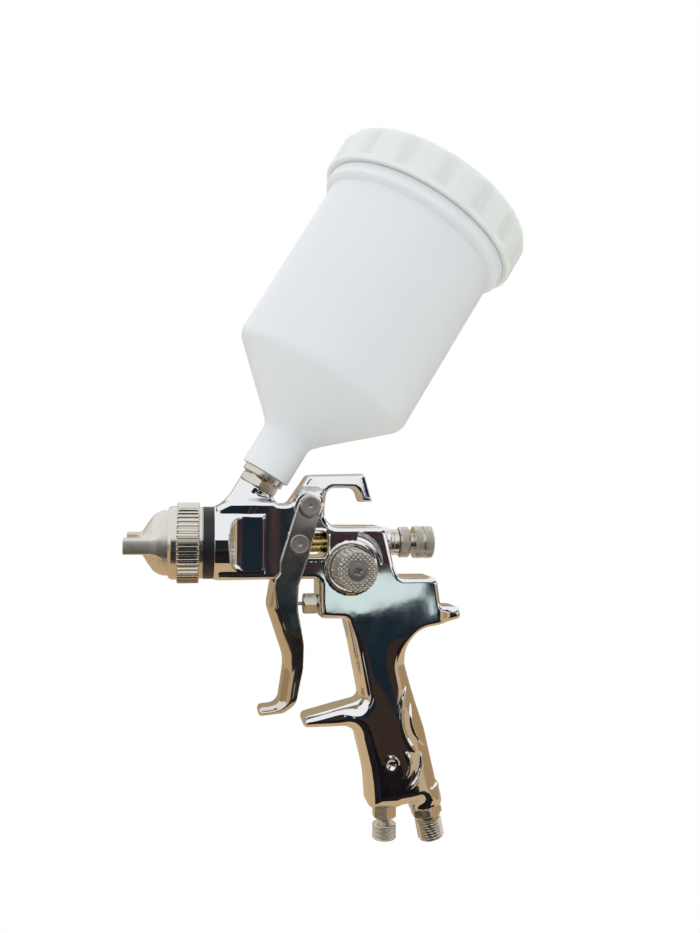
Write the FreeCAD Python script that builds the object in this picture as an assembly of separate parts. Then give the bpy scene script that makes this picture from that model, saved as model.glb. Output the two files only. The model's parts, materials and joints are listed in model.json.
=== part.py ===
import FreeCAD, Part
import os
from math import cos, pi, radians, sin, tan
from FreeCAD import Placement, Rotation, Vector

# Gravity-fed HVLP spray gun. It is drawn with the needle's axis on X at z = 0, the air cap towards -X,
# the grip downwards and the cup above. At the end every piece is moved so that the origin is the middle
# of the air inlet's thread. Millimetres throughout; +Z is up when the nozzle is level.

# ---- driving dimensions ------------------------------------------------------------------------
X, Y, Z = Vector(1, 0, 0), Vector(0, 1, 0), Vector(0, 0, 1)
FIT = 0.05                    # radial gap of a screwed or plugged joint that doesn't move

BODY_HALF = 12.0              # half the casting's thickness
HOOK_HALF = 8.0               # the hanging hook is thinner
FINGER_HALF = 9.5             # so are the finger rest below the trigger and the tail above the hand
HEAD_FRONT_X = -67.0          # face that the gasket bears on
SPIGOT_R = 16.5               # male thread that carries the air cap ring
SPIGOT_FRONT_X = -82.0
HEAD_R = 17.8
SEAT_X = -97.6                # where the needle's point closes the fluid nozzle's 1.4 mm bore
CAP_R = 15.7
HORN_FRONT_X = -108.6         # tips of the air cap's two horns, which leave a flat fan of paint
HORN_HALF = 4.2
CAP_TURN = 7                  # degrees that the horns stand off the level at rest

CUP_TILT = radians(30.9)      # lean of the cup from the vertical, towards the hand
CUP_AXIS = Vector(sin(CUP_TILT), 0, cos(CUP_TILT))
CUP_FOOT = Vector(-42.4, 0, 33.9)   # middle of the neck's lower face
BOSS_TOP = -8.0               # boss face, measured up the cup's axis from the neck's lower face
BOSS_R = 9.3
NECK_R = 12.5
CUP_R = 46.7
CUP_WALL = 2.0
SPOUT_R = 8.9                 # thread of the adapter inside the neck
LID_R = 53.4
LID_BOTTOM, LID_TOP = 147.5, 167.0

PIVOT = Vector(-21.8, 0, 18.2)      # trigger's hinge
CROSS = Vector(-26.6, 0, 0)         # pin that draws the needle back
PIN_HEAD_R = 4.6
TRIGGER_OUT, TRIGGER_WALL = 14.6, 1.5
WEB_TOP_Z = -18.6

VALVE_Z = -30.0               # axis of the air valve behind the trigger
VALVE_BORE_R = 4.35
FAN_X, FAN_Z = -1.3, -11.8    # axis of the fan control, along Y
FAN_SEAT_R = 11.7
FAN_BORE_END_Y = 3.5          # leaves room for the fan needle when the knob is turned right in
FLOW_X = 18.6                 # axis of the grip's flow valve, along Z
FLOW_FACE_Z = -129.7
FLOW_NUT_HIGH = 6.3

INLET_END = Vector(42.9, 0, -147.4)
INLET_TILT = radians(11.7)
INLET_AXIS = Vector(sin(INLET_TILT), 0, -cos(INLET_TILT))   # the way the hose leaves
INLET_R = 13.157 / 2          # major radius of a G 1/4 thread
INLET_THREAD = 9.9
INLET_NUT = (12.1, 16.5)      # its hexagon, measured up from the thread's end
ORIGIN = INLET_END - INLET_AXIS * 5.0

parts = {}


# ---- shapes ------------------------------------------------------------------------------------
def corner_arc(before, corner, after, radius):
    """The two tangent points and the middle of the arc that rounds a corner."""
    into, out = (before - corner).normalize(), (after - corner).normalize()
    half = into.getAngle(out) / 2
    reach = radius / tan(half)
    middle_way = (into + out).normalize()
    middle = corner + middle_way * (radius / sin(half) - radius)
    return corner + into * reach, middle, corner + out * reach


def outline(points, plane="xz"):
    """A face from corners (a, b) or (a, b, rounding radius), in the xz or yz plane."""
    corners = [(Vector(p[0], 0, p[1]) if plane == "xz" else Vector(0, p[0], p[1]),
                p[2] if len(p) > 2 else 0) for p in points]
    edges = []
    first = last = None
    for i, (corner, radius) in enumerate(corners):
        start = middle = end = corner
        if radius:
            after = corners[(i + 1) % len(corners)][0]
            start, middle, end = corner_arc(corners[i - 1][0], corner, after, radius)
        if first is None:
            first = start
        elif (start - last).Length > 1e-5:
            edges.append(Part.LineSegment(last, start).toShape())
        if radius:
            edges.append(Part.Arc(start, middle, end).toShape())
        last = end
    if (first - last).Length > 1e-5:
        edges.append(Part.LineSegment(last, first).toShape())
    return Part.Face(Part.Wire(edges))


def plate(points, half):
    """An xz outline made into a slab from y = -half to y = +half."""
    face = outline(points)
    face.translate(Y * -half)
    return face.extrude(Y * (2 * half))


def along(shape, base, axis):
    """Carries a shape drawn about +Z from the origin to a base point and an axis."""
    moved = shape.copy()
    moved.Placement = Placement(base, Rotation(Z, axis)).multiply(moved.Placement)
    return moved


def turned(points, base=Vector(0, 0, 0), axis=X):
    """A turned piece from its half section: points are (distance along the axis, radius, rounding)."""
    section = outline([(p[1], p[0]) + tuple(p[2:]) for p in points])
    return along(section.revolve(Vector(0, 0, 0), Z, 360), base, axis)


def rod(radius, start, end, base=Vector(0, 0, 0), axis=X):
    return Part.makeCylinder(radius, end - start, base + axis * start, axis)


def tube(inner, outer, start, end, base=Vector(0, 0, 0), axis=X):
    return rod(outer, start, end, base, axis).cut(rod(inner, start - 1, end + 1, base, axis))


def hexagon(flats, start, end, base=Vector(0, 0, 0), axis=X, turn=0.0):
    radius = flats / 2 / cos(pi / 6)
    points = [Vector(radius * cos(turn + i * pi / 3), radius * sin(turn + i * pi / 3), 0) for i in range(7)]
    prism = Part.Face(Part.makePolygon(points)).extrude(Z * (end - start))
    prism.translate(Z * start)
    return along(prism, base, axis)


def block(low, high):
    size = Vector(*high) - Vector(*low)
    return Part.makeBox(size.x, size.y, size.z, Vector(*low))


def coil(mean_r, wire_r, start, end, turns, base, axis):
    """A compression spring: round wire on a helix."""
    helix = Part.makeHelix((end - start - 2 * wire_r) / turns, end - start - 2 * wire_r, mean_r)
    section = Part.Wire(Part.makeCircle(wire_r, Vector(mean_r, 0, 0), Y))
    spring = Part.Wire(helix).makePipeShell([section], True, True)
    spring.translate(Z * (start + wire_r))
    return along(spring, base, axis)


def keep(name, shape):
    parts[name] = shape.removeSplitter() if len(shape.Solids) == 1 else shape


# ---- the casting -------------------------------------------------------------------------------
def body_blank():
    """Head, valve block, hand ledge, grip and finger rest: one outline, then the thinner places."""
    main = plate([
        (-66, -17.4), (-66, 17.4), (-60, 20.5, 2), (-38, 20.5, 1.5), (-36.5, 19.2, 1.5), (-31, 19.2, 4),
        (-25.2, 27, 4), (-14.6, 27, 4), (-13.9, 8.4, 6.5), (16, 8.4, 3.5), (20.2, -10.6, 8),
        (22.8, -16.8, 4), (42.2, -16.8, 3), (44.4, -31.4, 2.5), (54.4, -32, 2), (55.8, -37.5, 1.8),
        (46.4, -39.8, 12), (26.8, -43.2, 14), (27.5, -60, 8), (31, -71, 20), (38.8, -93.6, 40),
        (47.2, -129.6, 2), (36.9, -131.7, 0.6), (37.4, -127.6, 2), (26, FLOW_FACE_Z + 0.9),
        (24.4, FLOW_FACE_Z, 0.4),
        (9.4, FLOW_FACE_Z, 3), (8.1, -113, 60), (2, -88.9, 8), (-23.8, -88.9, 2.2), (-22.8, -84.2, 2.2),
        (5.6, -77.2, 3.5), (-2.6, -36.5, 2.5), (-16.2, -36.3, 2.5), (-16.4, -17, 3), (-37, -17, 0)],
        BODY_HALF)
    hook = plate([
        (-30, 10), (-30.5, 20), (-22, 33.4, 3), (6.2, 34.3, 2.5), (10.2, 20.2, 0.8), (4.8, 20.1, 0.8),
        (2.6, 27, 4), (-12.4, 27, 4.5), (-14.1, 16, 0)], HOOK_HALF)
    thin_side = 20.0
    for side in (-1, 1):
        for low, high in (((-30, FINGER_HALF, -92), (-1, thin_side, -74)),
                          ((45, FINGER_HALF, -42.5), (60, thin_side, -28))):
            ends = sorted((side * low[1], side * high[1]))
            main = main.cut(block((low[0], ends[0], low[2]), (high[0], ends[1], high[2])))
    head = rod(HEAD_R, HEAD_FRONT_X, -57).fuse(turned([(-57, 0), (-57, HEAD_R), (-51, BODY_HALF), (-51, 0)]))
    boss = rod(BOSS_R, -34, BOSS_TOP, CUP_FOOT, CUP_AXIS)
    spigot = rod(SPIGOT_R, SPIGOT_FRONT_X, HEAD_FRONT_X + 0.5)
    ear = rod(7.2, -BODY_HALF - 0.4, BODY_HALF + 0.4, PIVOT, Y)
    rear_pad = rod(7.2, 14, 20)
    grip_foot = rod(8.2, INLET_NUT[1] + FIT, 24, INLET_END, INLET_AXIS * -1)
    return main.multiFuse([hook, head, boss, spigot, ear, rear_pad, grip_foot])


def gun_body():
    body = body_blank()
    bores = [
        rod(13, SPIGOT_FRONT_X - 1, -70),                       # air chamber behind the cap
        rod(6.45, -71, -57),                                    # fluid nozzle's thread
        rod(4.6, -58, -42),                                     # paint way
        rod(5.0, -43, -30),                                     # packing and its nut
        rod(5.4, -14, 13), rod(6.0, 8, 22), rod(6.6, 20, 24),   # needle spring, rear housing and its seat
        rod(6.55, -19, BOSS_TOP + 1, CUP_FOOT, CUP_AXIS),       # adapter's thread
        rod(4.5, -38, -18, CUP_FOOT, CUP_AXIS),                 # down to the needle
        rod(2.55, -15, 15, PIVOT, Y),                           # pivot pin
        rod(VALVE_BORE_R, -17, 22, Z * VALVE_Z),                # air valve
        rod(4.55, -20, FAN_BORE_END_Y, Vector(FAN_X, 0, FAN_Z), Y),        # fan control
        rod(FAN_SEAT_R, -20, -BODY_HALF + 1, Vector(FAN_X, 0, FAN_Z), Y),
        rod(2.2, -80, -1.3, Z * (FAN_Z + 0.6)),                 # air from the fan control to the cap
        rod(2.2, VALVE_Z, FAN_Z, Vector(-5, 4, 0), Z),          # air valve to fan control
        rod(4.05, FLOW_FACE_Z - 6, -113, X * FLOW_X, Z),        # flow valve
        rod(2.0, FLOW_X, 32, Z * -115.5),
        rod(5.95, 16, 34, INLET_END, INLET_AXIS * -1)]          # air inlet
    air_low, air_high = Vector(36, 0, -119), Vector(12, 0, -31)
    bores.append(rod(3.2, 0, (air_high - air_low).Length, air_low, (air_high - air_low).normalize()))
    slot = plate([(-31, -6.6, 2.4), (-31, 5.9, 2.4), (-13.1, 5.9, 2.4), (-13.1, -6.6, 2.4)], 30)
    return body.cut(Part.makeCompound(bores)).cut(slot)


# ---- spray head --------------------------------------------------------------------------------
def air_cap():
    shell = turned([
        (-84.4, 13.5), (-84.4, 16.45), (-86.4, 16.45), (-86.4, CAP_R), (-90.8, CAP_R, 2), (-96, 13.4, 6),
        (-100.4, 5.8, 1), (-101.5, 5.4, 0.5), (-101.5, 2.7), (-99.5, 2.7), (-93, 11.5), (-87, 13.5)])
    horn_band = rod(CAP_R, HORN_FRONT_X, -91).cut(rod(9.0, -95, -90))
    between = plate([(-112, 0), (-112, 10.4), (-101.5, 6.2), (-101.5, 0)], 8)
    horns = []
    for side in (-1, 1):
        corners = [(6.6, -HORN_HALF), (6.6, HORN_HALF), (17, HORN_HALF), (17, -HORN_HALF)]
        sector = outline([(side * y, z) for y, z in corners], "yz")
        sector.translate(X * -110)
        slope = between.copy()
        slope.rotate(Vector(0, 0, 0), X, -90 * side)
        horns.append(horn_band.common(sector.extrude(X * 18)).cut(slope))
    cap = shell.multiFuse(horns)
    jets = []
    for side in (-1, 1):
        jets.append(Part.makeCylinder(0.8, 9, Vector(-105.5, side * 13, 0), Vector(-0.5, -side, 0)))
        jets.append(Part.makeCylinder(0.5, 8, Vector(-104, 0, side * 4.2), X))
    cap = cap.cut(Part.makeCompound(jets))
    cap.rotate(Vector(0, 0, 0), X, CAP_TURN)
    return cap


def spray_head():
    keep("air_cap", air_cap())
    keep("air_cap_ring", turned([
        (-88.3, 15.8), (-88.3, 16.6, 0.3), (-86.8, 17.6, 0.5), (-84.4, 17.6), (-84, 19.4, 0.3),
        (-74, 19.4, 0.3), (-73.6, 17.2), (-72.2, 17.2), (-72.2, 16.6), (-86.5, 16.6), (-86.5, 15.8)]))
    keep("head_gasket", tube(SPIGOT_R + 0.1, 17.4, -72, HEAD_FRONT_X))
    keep("fluid_nozzle", turned([
        (-57.3, 3.2), (-57.3, 6.4), (-70, 6.4), (-70, 8), (-80.5, 8), (-82, 6.6), (-95, 5.0), (-97.5, 2.2),
        (-101.9, 2.2), (-101.9, 0.7), (SEAT_X, 0.7), (-92, 3.2)]))
    air_holes = []
    for i in range(12):
        angle = i * pi / 6
        air_holes.append(rod(0.9, -81, -76, Vector(0, 10.6 * cos(angle), 10.6 * sin(angle))))
    keep("air_baffle", tube(8.05, 12.95, -80, -76.5).cut(Part.makeCompound(air_holes)))


def needle_group():
    keep("fluid_needle", turned([
        (SEAT_X - 0.9, 0), (SEAT_X - 0.9, 0.35), (SEAT_X, 0.64), (-84, 1.9), (12, 1.9, 0.4), (12, 0)]))
    keep("needle_packing", tube(1.96, 4.95, -42, -37.2))
    nut = tube(1.98, 4.95, -37.2, -31.6).cut(block((-32.6, -6, -0.6), (-31, 6, 0.6)))
    keep("packing_nut", nut.fuse(tube(1.98, 4.95, -37.2, -33)))
    collar = turned([(-21.9, 1.92), (-21.9, 4.9, 0.4), (-12, 4.9, 0.4), (-12, 1.92)])
    grooves = [tube(4.4, 6, x, x + 0.5) for x in (-19.6, -17.4, -15.2)]
    keep("needle_collar", collar.cut(Part.makeCompound(grooves)))
    keep("needle_spring", coil(3.3, 0.6, -11.8, 13.6, 8, Vector(0, 0, 0), X))


def fluid_control():
    keep("fluid_control_housing", turned([
        (8.2, 4.6), (8.2, 5.95), (20.05, 5.95), (20.05, 6.4), (24.6, 6.4, 0.4), (24.6, 4.6)]))
    keep("fluid_spindle", turned([
        (13.8, 2.2), (13.8, 4.52), (39, 4.52), (39, 0), (24, 0), (24, 2.2)]))
    keep("fluid_lock_ring", turned([
        (24.9, 4.6), (24.9, 7.0), (25.5, 7.7), (29.4, 7.7), (30, 7.0), (30, 4.6)]))
    keep("fluid_knob", turned([
        (32.4, 4.6), (32.4, 8, 0.4), (36.6, 8, 0.4), (36.6, 6.9), (37.5, 6.9), (37.5, 8, 0.4), (42, 8, 0.8),
        (42, 0), (39.1, 0), (39.1, 4.6)]))


# ---- trigger -----------------------------------------------------------------------------------
TRIGGER_REAR = [(-16.1, 19.2), (-19, 7), (-22.2, -6.5), (-26.9, -20, 6), (-27.1, -31, 20),
                (-24, -48, 14), (-24, -60, 14), (-27.2, -77, 8), (-33, -82.3, 5), (-45.2, -83.3, 1.8)]


TRIGGER_FRONT = [(-44.7, -79.2, 1.9), (-35.4, -78.4, 5), (-32.3, -57, 18), (-41, -31, 8), (-38, -16, 2),
                 (-35.9, -14, 2), (-35.8, -8, 5), (-27.4, 19.6)]
FINGER_WIDTH = 11.0           # half the trigger's width where the fingers pull


def trigger_width(inset):
    """The trigger seen along X: wide where it straddles the head, narrower where the fingers pull."""
    top, low = TRIGGER_OUT - inset, FINGER_WIDTH - inset
    half = [(top, 30, 0), (top, -42, 60), (low, -64, 40), (low - 1, -90, 0)]
    mirrored = [(-y, z, radius) for y, z, radius in reversed(half)]
    face = outline(half + mirrored, "yz")
    face.translate(X * -60)
    return face.extrude(X * 60)


def trigger():
    side = plate(TRIGGER_REAR + TRIGGER_FRONT, TRIGGER_OUT)
    ends = rod(5.5, -TRIGGER_OUT, TRIGGER_OUT, PIVOT, Y)
    blank = side.fuse(ends).common(trigger_width(0))
    hollow = plate([
        (-4, 40), (-4, -72), (-30.4, -73.5, 4), (-30.4, -57, 18), (-39.1, -31, 7), (-37.6, WEB_TOP_Z),
        (-60, WEB_TOP_Z), (-60, 40)], TRIGGER_OUT).common(trigger_width(TRIGGER_WALL))
    holes = [rod(2.55, -20, 20, PIVOT, Y), rod(2.45, -20, 20, CROSS, Y)]
    return blank.cut(hollow).cut(Part.makeCompound(holes))


def trigger_group():
    keep("trigger", trigger())
    head_in = TRIGGER_OUT + 0.1
    keep("trigger_pivot_pin", turned([
        (-head_in - 1.6, 0), (-head_in - 1.6, PIN_HEAD_R, 0.5), (-head_in, PIN_HEAD_R), (-head_in, 2.48),
        (12.6, 2.48), (12.6, 1.45), (3, 1.45), (3, 0)], PIVOT, Y))
    keep("trigger_pivot_screw", turned([
        (4, 0), (4, 1.4), (head_in, 1.4), (head_in, PIN_HEAD_R), (head_in + 1.6, PIN_HEAD_R, 0.5),
        (head_in + 1.6, 0)], PIVOT, Y))
    inner = TRIGGER_OUT - TRIGGER_WALL - 0.1
    cross = turned([
        (-TRIGGER_OUT - 1.4, 0), (-TRIGGER_OUT - 1.4, PIN_HEAD_R, 0.5), (-TRIGGER_OUT, PIN_HEAD_R),
        (-TRIGGER_OUT, 2.4), (-inner, 2.4), (-inner, 4.2), (inner, 4.2), (inner, 2.4),
        (TRIGGER_OUT, 2.4), (TRIGGER_OUT, PIN_HEAD_R), (TRIGGER_OUT + 1.4, PIN_HEAD_R, 0.5),
        (TRIGGER_OUT + 1.4, 0)], CROSS, Y)
    keep("trigger_cross_pin", cross.cut(block((-33, -2.4, -2.5), (-20, 2.4, 3.2))))


# ---- air valve, fan control, flow valve --------------------------------------------------------
def air_valve():
    base = Z * VALVE_Z
    nut = hexagon(9.4, -23, -16.5, base, X, pi / 6).fuse(rod(VALVE_BORE_R - FIT, -16.5, -6, base))
    nut = nut.cut(rod(1.0, -24, -5, base)).cut(rod(2.7, -14, -9.9, base)).cut(rod(2.2, -10, -5, base))
    ports = [rod(1.2, -6, 6, Vector(-8, 0, VALVE_Z), axis) for axis in (Y, Z)]
    keep("air_valve_nut", nut.cut(Part.makeCompound(ports)))
    keep("air_valve_packing", tube(1.0, 2.65, -13.9, -10, base))
    keep("air_valve_stem", rod(0.92, -38.0, 3, base))
    keep("air_valve_poppet", turned([(-5.9, 0.93), (-5.9, 3.9), (-3, 4.0, 0.4), (-1, 2.4), (-1, 0.93)], base))
    keep("air_valve_spring", coil(3.3, 0.45, -0.9, 21.8, 8, base, X))


def fan_control():
    base = Vector(FAN_X, 0, FAN_Z)
    floor = -BODY_HALF + 1
    bush = hexagon(13, floor - 3, floor, base, Y).fuse(rod(4.5, floor, -2, base, Y))
    bush = bush.cut(rod(2.58, -20, 0, base, Y)).cut(rod(3.55, -6, -4.8, base, Y))
    keep("fan_valve_bush", bush)
    keep("fan_valve_o_ring", along(Part.makeTorus(3.07, 0.47), base + Y * -5.4, Y))
    stem = turned([(-30, 1.56), (-30, 2.5), (-1, 2.5), (1.5, 1.2), (1.5, 0), (-22, 0), (-22, 1.56)], base, Y)
    keep("fan_valve_stem", stem)
    keep("fan_knob", turned([
        (-13.2, 9.4), (-13.2, 10.6, 0.5), (-30.6, 8.7, 0.8), (-31.2, 7.6), (-31.2, 4.4), (-30.1, 4.4),
        (-30.1, 2.55), (-18, 2.55), (-18, 8.4), (-13.9, 8.4)], base, Y))
    keep("fan_knob_screw", turned([
        (-22.6, 0), (-22.6, 1.5), (-30.2, 1.5), (-30.2, 4.1), (-31.6, 4.1, 0.6), (-31.6, 0)], base, Y))


def flow_valve():
    base = X * FLOW_X
    down = FLOW_FACE_Z - FLOW_NUT_HIGH
    gland = hexagon(10.7, down, FLOW_FACE_Z, base, Z, pi / 6).fuse(rod(4.0, FLOW_FACE_Z, -122, base, Z))
    keep("inlet_valve_gland", gland.cut(rod(2.7, -140, -120, base, Z)).cut(rod(3.5, -125, -123.8, base, Z)))
    keep("inlet_valve_o_ring", along(Part.makeTorus(3.1, 0.38), base + Z * -124.4, Z))
    keep("inlet_valve_stem", turned([
        (-145.4, 0), (-145.4, 2.62), (-121, 2.62), (-117.5, 1), (-117.5, 0)], base, Z))
    keep("inlet_valve_knob", turned([
        (-146.5, 0), (-146.5, 5.9, 0.8), (-139.2, 5.9, 0.8), (-139.2, 2.7), (-145.5, 2.7),
        (-145.5, 0)], base, Z))


def inlet():
    base, up = INLET_END, INLET_AXIS * -1
    low, high = INLET_NUT
    nipple = rod(INLET_R, 0, INLET_THREAD, base, up).fuse(rod(5.8, INLET_THREAD, low, base, up))
    nipple = nipple.fuse(hexagon(14, low, high, base, up, pi / 6)).fuse(rod(5.9, high, 29, base, up))
    keep("air_inlet", nipple.cut(rod(3.6, -1, 30, base, up)))


# ---- cup ---------------------------------------------------------------------------------------
def cup_group():
    base, up = CUP_FOOT, CUP_AXIS
    adapter = hexagon(18.5, BOSS_TOP, -3.9, base, up, pi / 6).fuse(rod(6.5, -18, BOSS_TOP, base, up))
    adapter = adapter.fuse(rod(9, -3.9, -3, base, up)).fuse(rod(10.6, -3, 0, base, up))
    adapter = adapter.fuse(rod(SPOUT_R, 0, 13, base, up))
    keep("cup_adapter", adapter.cut(rod(4.5, -19, 14, base, up)))
    inner = CUP_R - CUP_WALL
    keep("cup", turned([
        (0.1, SPOUT_R + 0.1), (0.1, NECK_R, 0.6), (21, NECK_R, 4), (26, 17.5, 5), (53, CUP_R, 8),
        (140.5, CUP_R), (142, 50, 0.6), (146.5, 50, 0.6), (147, 48.4), (161, 48.4, 0.5), (161, inner, 0.5),
        (54, inner, 7), (27.5, 15.6, 4), (22.5, 10.4, 3), (14, 10.4), (14, SPOUT_R + 0.1)], base, up))
    strainer = turned([
        (14.2, 4.6), (14.2, 10.2), (15.6, 10.2), (15.6, 5.6), (30, 4.4), (30, 0), (28.9, 0),
        (28.9, 3.6)], base, up)
    windows = [block((-8, -0.9, 18), (8, 0.9, 27)), block((-0.9, -8, 18), (0.9, 8, 27))]
    keep("cup_strainer", strainer.cut(along(windows[0].fuse(windows[1]), base, up)))
    keep("cup_lid", turned([
        (LID_BOTTOM, 51.2), (LID_BOTTOM, LID_R, 0.6), (LID_TOP - 1.5, LID_R, 4), (LID_TOP, 44, 20),
        (LID_TOP, 2.1), (LID_TOP - 3.3, 2.1), (LID_TOP - 3.3, 51.2, 1)], base, up))
    keep("lid_gasket", tube(44.2, 48.2, 161.1, LID_TOP - 3.35, base, up))
    keep("lid_vent_plug", turned([
        (LID_TOP - 5, 0.8), (LID_TOP - 5, 2.05), (LID_TOP, 2.05), (LID_TOP, 5), (LID_TOP + 3, 5, 1),
        (LID_TOP + 3, 0.8)], base, up))


os.makedirs("parts", exist_ok=True)
keep("gun_body", gun_body())
spray_head()
needle_group()
fluid_control()
trigger_group()
air_valve()
fan_control()
flow_valve()
inlet()
cup_group()
for node, shape in parts.items():
    shape.translate(ORIGIN * -1)
    shape.exportStep("parts/" + node + ".step")
    print(node, len(shape.Solids), round(shape.Volume, 1), shape.isValid())
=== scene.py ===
import json
from math import atan2, cos, pi, radians, sin, tan

import bmesh
import bpy
import numpy as np
from mathutils import Matrix, Vector


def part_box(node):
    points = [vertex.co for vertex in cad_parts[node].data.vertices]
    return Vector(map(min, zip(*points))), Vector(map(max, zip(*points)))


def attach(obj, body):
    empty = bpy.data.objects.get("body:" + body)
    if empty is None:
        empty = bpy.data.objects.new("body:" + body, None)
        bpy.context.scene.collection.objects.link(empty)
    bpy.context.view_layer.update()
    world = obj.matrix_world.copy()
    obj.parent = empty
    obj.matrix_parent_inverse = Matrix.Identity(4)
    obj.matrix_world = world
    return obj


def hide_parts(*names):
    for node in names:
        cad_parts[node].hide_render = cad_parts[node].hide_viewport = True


# Looks of the gravity-fed spray gun. Shapes are worked out in millimetres in the design's own place, with
# the needle's axis on X at z = 0 and the trigger hinge near x = -22; HOME carries them into the frame.

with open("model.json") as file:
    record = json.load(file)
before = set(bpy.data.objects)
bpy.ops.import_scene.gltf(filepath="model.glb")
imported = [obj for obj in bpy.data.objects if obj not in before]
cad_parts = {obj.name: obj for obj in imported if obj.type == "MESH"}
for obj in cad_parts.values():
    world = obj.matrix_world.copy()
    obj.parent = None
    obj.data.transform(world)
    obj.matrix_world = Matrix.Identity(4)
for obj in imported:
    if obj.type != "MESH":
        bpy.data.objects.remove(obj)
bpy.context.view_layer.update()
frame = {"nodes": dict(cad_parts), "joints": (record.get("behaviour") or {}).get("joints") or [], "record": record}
NEEDLE_REAR_X = 12.0
needle_low, needle_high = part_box("fluid_needle")
HOME = Vector((needle_high.x - NEEDLE_REAR_X / 1000, 0, (needle_low.z + needle_high.z) / 2))
JOINTS = {joint["name"]: joint for joint in frame["joints"]}

CUP_TILT = radians(30.9)
CUP_AXIS = np.array([sin(CUP_TILT), 0, cos(CUP_TILT)])
CUP_FOOT = np.array([-42.4, 0, 33.9])
INLET_TILT = radians(11.7)
INLET_UP = np.array([-sin(INLET_TILT), 0, cos(INLET_TILT)])
INLET_END = np.array([42.9, 0, -147.4])
X, Y, Z = np.eye(3)
PIVOT = (np.array(JOINTS["trigger_pull"]["pos_m"]) - np.array(HOME)) * 1000
CROSS = np.array([-26.6, 0, 0])
FAN_X, FAN_Z = -1.3, -11.8
BODY_HALF = 12.0


# ---- outlines ----------------------------------------------------------------------------------
def rounded(corners, step=0.35, closed=True):
    """Points along an outline given by corners (a, b) or (a, b, rounding radius)."""
    points = [np.array(c[:2], float) for c in corners]
    path = []
    for i, corner in enumerate(corners):
        radius = corner[2] if len(corner) > 2 else 0
        here = points[i]
        if not radius or (not closed and i in (0, len(corners) - 1)):
            path.append(here)
            continue
        into, out = points[i - 1] - here, points[(i + 1) % len(points)] - here
        into, out = into / np.linalg.norm(into), out / np.linalg.norm(out)
        if np.linalg.norm(into + out) < 1e-3:
            path.append(here)
            continue
        half = np.arccos(np.clip(into @ out, -1, 1)) / 2
        centre = here + (into + out) / np.linalg.norm(into + out) * radius / sin(half)
        start, end = here + into * radius / tan(half), here + out * radius / tan(half)
        a, b = start - centre, end - centre
        turn = atan2(a[0] * b[1] - a[1] * b[0], a @ b)
        count = max(3, int(abs(turn) * radius / step), int(abs(turn) / radians(9)))
        for t in np.linspace(0, turn, count + 1):
            path.append(centre + np.array([a[0] * cos(t) - a[1] * sin(t), a[0] * sin(t) + a[1] * cos(t)]))
    return np.array(path)


class Field:
    """Numbers on a fine XZ grid, read back anywhere with a smooth quadratic blend."""

    def __init__(self, low, high, step=0.3):
        self.low, self.step = np.array(low, float), step
        self.count = [int((h - l) / step) + 4 for l, h in zip(low, high)]
        self.x = (self.low[0] + step * np.arange(self.count[0]))[:, None]
        self.z = (self.low[1] + step * np.arange(self.count[1]))[None, :]
        self.value = np.zeros(self.count)

    def like(self, value):
        other = Field.__new__(Field)
        other.__dict__.update(self.__dict__)
        other.value = np.broadcast_to(value, self.count).astype(float)
        return other

    def softened(self, width):
        """The same field blurred by about this many millimetres."""
        reach = int(3 * width / self.step) + 1
        weights = np.exp(-0.5 * (np.arange(-reach, reach + 1) * self.step / width) ** 2)
        weights /= weights.sum()
        value = self.value
        for axis in (0, 1):
            padded = np.pad(value, [(reach, reach) if a == axis else (0, 0) for a in (0, 1)], mode="edge")
            length = value.shape[axis]
            value = sum(w * np.take(padded, range(i, i + length), axis) for i, w in enumerate(weights))
        return self.like(value)

    def at(self, x, z):
        u, v = np.broadcast_arrays((x - self.low[0]) / self.step, (z - self.low[1]) / self.step)
        u = np.clip(u, 1, self.count[0] - 2.01)
        v = np.clip(v, 1, self.count[1] - 2.01)
        i, j = np.rint(u).astype(int), np.rint(v).astype(int)
        fu, fv = u - i, v - j
        result = 0
        for di, wu in ((-1, 0.5 * (0.5 - fu) ** 2), (0, 0.75 - fu ** 2), (1, 0.5 * (0.5 + fu) ** 2)):
            for dj, wv in ((-1, 0.5 * (0.5 - fv) ** 2), (0, 0.75 - fv ** 2), (1, 0.5 * (0.5 + fv) ** 2)):
                result = result + wu * wv * self.value[i + di, j + dj]
        return result


def outline_distance(field, path):
    """Signed distance to a closed outline at every place of a field: below zero inside."""
    best = np.full(field.count, 1e9)
    inside = np.zeros(field.count, bool)
    for a, b in zip(path, np.roll(path, -1, axis=0)):
        dx, dz = b - a
        if dx * dx + dz * dz < 1e-12:
            continue
        px, pz = field.x - a[0], field.z - a[1]
        t = np.clip((px * dx + pz * dz) / (dx * dx + dz * dz), 0, 1)
        best = np.minimum(best, (px - t * dx) ** 2 + (pz - t * dz) ** 2)
        if dz:
            crosses = (a[1] <= field.z) != (b[1] <= field.z)
            inside ^= crosses & (px < pz * dx / dz)
    return field.like(np.where(inside, -1, 1) * np.sqrt(best))


# ---- solids as distance functions --------------------------------------------------------------
def soft_min(a, b, reach):
    share = np.clip(0.5 + 0.5 * (b - a) / reach, 0, 1)
    return b * (1 - share) + a * share - reach * share * (1 - share)


def soft_max(a, b, reach):
    return -soft_min(-a, -b, reach)


def slab(side, y, half, edge):
    """An outline's distance made into a slab of that half thickness, with rounded edges."""
    across = np.abs(y) - half
    a, b = side + edge, across + edge
    return np.sqrt(np.maximum(a, 0) ** 2 + np.maximum(b, 0) ** 2) + np.minimum(np.maximum(a, b), 0) - edge


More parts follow.
